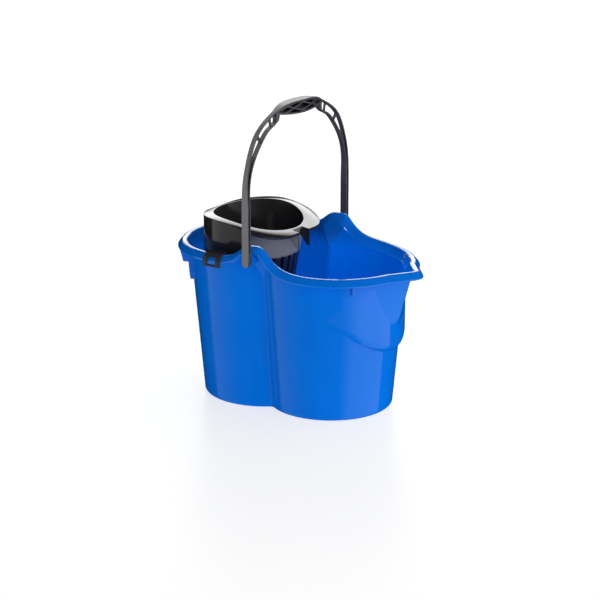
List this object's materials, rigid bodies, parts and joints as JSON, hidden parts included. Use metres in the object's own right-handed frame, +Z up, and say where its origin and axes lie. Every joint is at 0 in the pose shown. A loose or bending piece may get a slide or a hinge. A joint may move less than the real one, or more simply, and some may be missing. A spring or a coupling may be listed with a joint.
{
  "type": "mop bucket with wringer",
  "caption": "Two-lobed plastic mop bucket with a pouring spout, a swing bail with hand grip, and a slotted wringer cone that hooks over the rim of one lobe and lifts out.",
  "frame": {"origin": "on the floor under the bail's pivots, at the middle of the bucket's waist", "axes": "+X along the bucket to the spout, +Y across it along the bail's pivot axis, +Z up from the floor"},
  "size_m": [0.3927, 0.285, 0.45],
  "materials": {
    "bucket_blue": "gloss moulded",
    "bail_grey": "satin moulded",
    "wringer_charcoal": "satin moulded"
  },
  "bodies": {
    "bucket": {"bucket": "bucket_blue"},
    "bail": {"bail": "bail_grey"},
    "wringer": {"wringer": "wringer_charcoal"}
  },
  "joints": [
    {"name": "bail_swing", "type": "hinge", "parent": "bucket", "child": "bail", "pos_m": [0, 0, 0.24], "axis": [0, 1, 0], "range_deg": [-116, 91]},
    {"name": "wringer_lift", "type": "slide", "parent": "bucket", "child": "wringer", "axis": [0, 0, 1], "range_m": [0, 0.12]}
  ]
}
